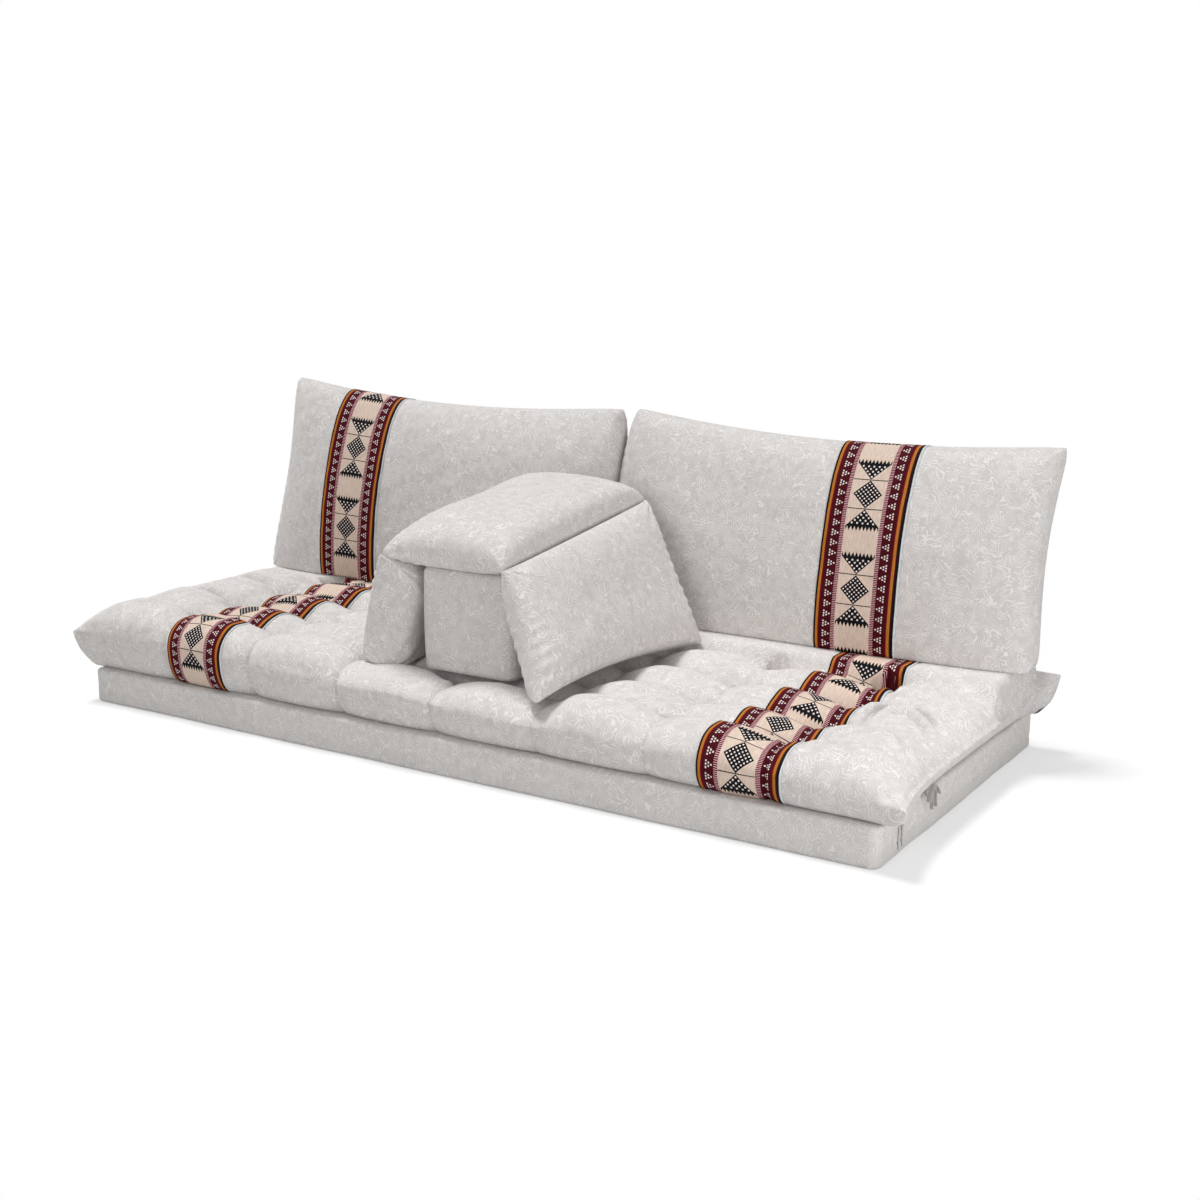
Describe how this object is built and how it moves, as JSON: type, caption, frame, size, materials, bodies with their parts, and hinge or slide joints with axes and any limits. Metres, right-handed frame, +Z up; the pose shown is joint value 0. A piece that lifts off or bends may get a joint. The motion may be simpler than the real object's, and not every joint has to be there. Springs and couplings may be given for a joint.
{
  "type": "majlis floor sofa",
  "caption": "Low floor sofa: foam base, tufted mattress, leaning back cushions and a loose saddle armrest, in jacquard with woven bands.",
  "frame": {"origin": "centre of the base's underside, on the floor", "axes": "+X along the sofa to the right end of the picture, -Y out of the front where a sitter's legs go, +Z up"},
  "size_m": [2.097, 0.8946, 0.7147],
  "materials": {
    "jacquard_cover": "pale warm grey chenille jacquard with scribbled raised threads",
    "base_cover_cloth": "the same jacquard, a little greyer, stretched flat over foam",
    "plain_underside": "plain light woven lining",
    "foam": "cream polyurethane foam",
    "filling": "white fibre filling",
    "woven_band": "flat woven band in cream, black, dark red and a thin orange line, of a traditional geometric pattern",
    "stitch_thread": "thick pale thread",
    "ribbon": "soft pale ribbon",
    "zip_tape": "woven tape with a nylon coil",
    "zip_slider": "dull nickel"
  },
  "bodies": {
    "base_and_mattress": {"base_foam": "foam", "base_cover": "base_cover_cloth", "base_bottom_panel": "plain_underside", "base_zip_tape": "zip_tape", "seat_core": "filling", "seat_cover_top": "jacquard_cover", "seat_cover_bottom": "plain_underside", "seat_tufts": "stitch_thread", "seat_band_left": "woven_band", "seat_band_right": "woven_band", "ties_left": "ribbon", "ties_right": "ribbon"},
    "base_zip_slider": {"base_zip_slider": "zip_slider"},
    "back_cushion_left": {"back_left_cover_front": "jacquard_cover", "back_left_cover_rear": "jacquard_cover", "back_left_filling": "filling", "back_left_band": "woven_band", "back_left_zip_tape": "zip_tape"},
    "back_zip_slider_left": {"back_left_zip_slider": "zip_slider"},
    "back_cushion_right": {"back_right_cover_front": "jacquard_cover", "back_right_cover_rear": "jacquard_cover", "back_right_filling": "filling", "back_right_band": "woven_band", "back_right_zip_tape": "zip_tape"},
    "back_zip_slider_right": {"back_right_zip_slider": "zip_slider"},
    "arm_block": {"arm_block_foam": "foam", "arm_block_cover": "jacquard_cover"},
    "arm_saddle": {"arm_top_pad_upper": "jacquard_cover", "arm_top_pad_lower": "jacquard_cover", "arm_top_pad_filling": "filling"},
    "arm_flap_left": {"arm_left_pad_outer": "jacquard_cover", "arm_left_pad_inner": "jacquard_cover", "arm_left_pad_filling": "filling"},
    "arm_flap_right": {"arm_right_pad_outer": "jacquard_cover", "arm_right_pad_inner": "jacquard_cover", "arm_right_pad_filling": "filling"}
  },
  "joints": [
    {"name": "back_lift_left", "type": "slide", "parent": "base_and_mattress", "child": "back_cushion_left", "axis": [0, 0.2554, 0.9668], "range_m": [0, 0.56]},
    {"name": "back_lift_right", "type": "slide", "parent": "base_and_mattress", "child": "back_cushion_right", "axis": [0, 0.2554, 0.9668], "range_m": [0, 0.56]},
    {"name": "arm_lift", "type": "slide", "parent": "base_and_mattress", "child": "arm_block", "axis": [0, 0, 1], "range_m": [0, 0.6]},
    {"name": "saddle_lift", "type": "slide", "parent": "arm_block", "child": "arm_saddle", "axis": [0, 0, 1], "range_m": [0, 0.28]},
    {"name": "flap_fold_left", "type": "hinge", "parent": "arm_saddle", "child": "arm_flap_left", "pos_m": [-0.1553, -0.085, 0.464], "axis": [0, 0.9925, 0.1219], "range_deg": [0, 110]},
    {"name": "flap_fold_right", "type": "hinge", "parent": "arm_saddle", "child": "arm_flap_right", "pos_m": [0.1553, -0.085, 0.464], "axis": [0, -0.9925, -0.1219], "range_deg": [0, 110]},
    {"name": "base_zip_run", "type": "slide", "parent": "base_and_mattress", "child": "base_zip_slider", "axis": [-1, 0, 0], "range_m": [0, 1.614]},
    {"name": "back_zip_run_left", "type": "slide", "parent": "back_cushion_left", "child": "back_zip_slider_left", "axis": [-1, 0, 0], "range_m": [0, 0.414]},
    {"name": "back_zip_run_right", "type": "slide", "parent": "back_cushion_right", "child": "back_zip_slider_right", "axis": [-1, 0, 0], "range_m": [0, 0.414]}
  ]
}
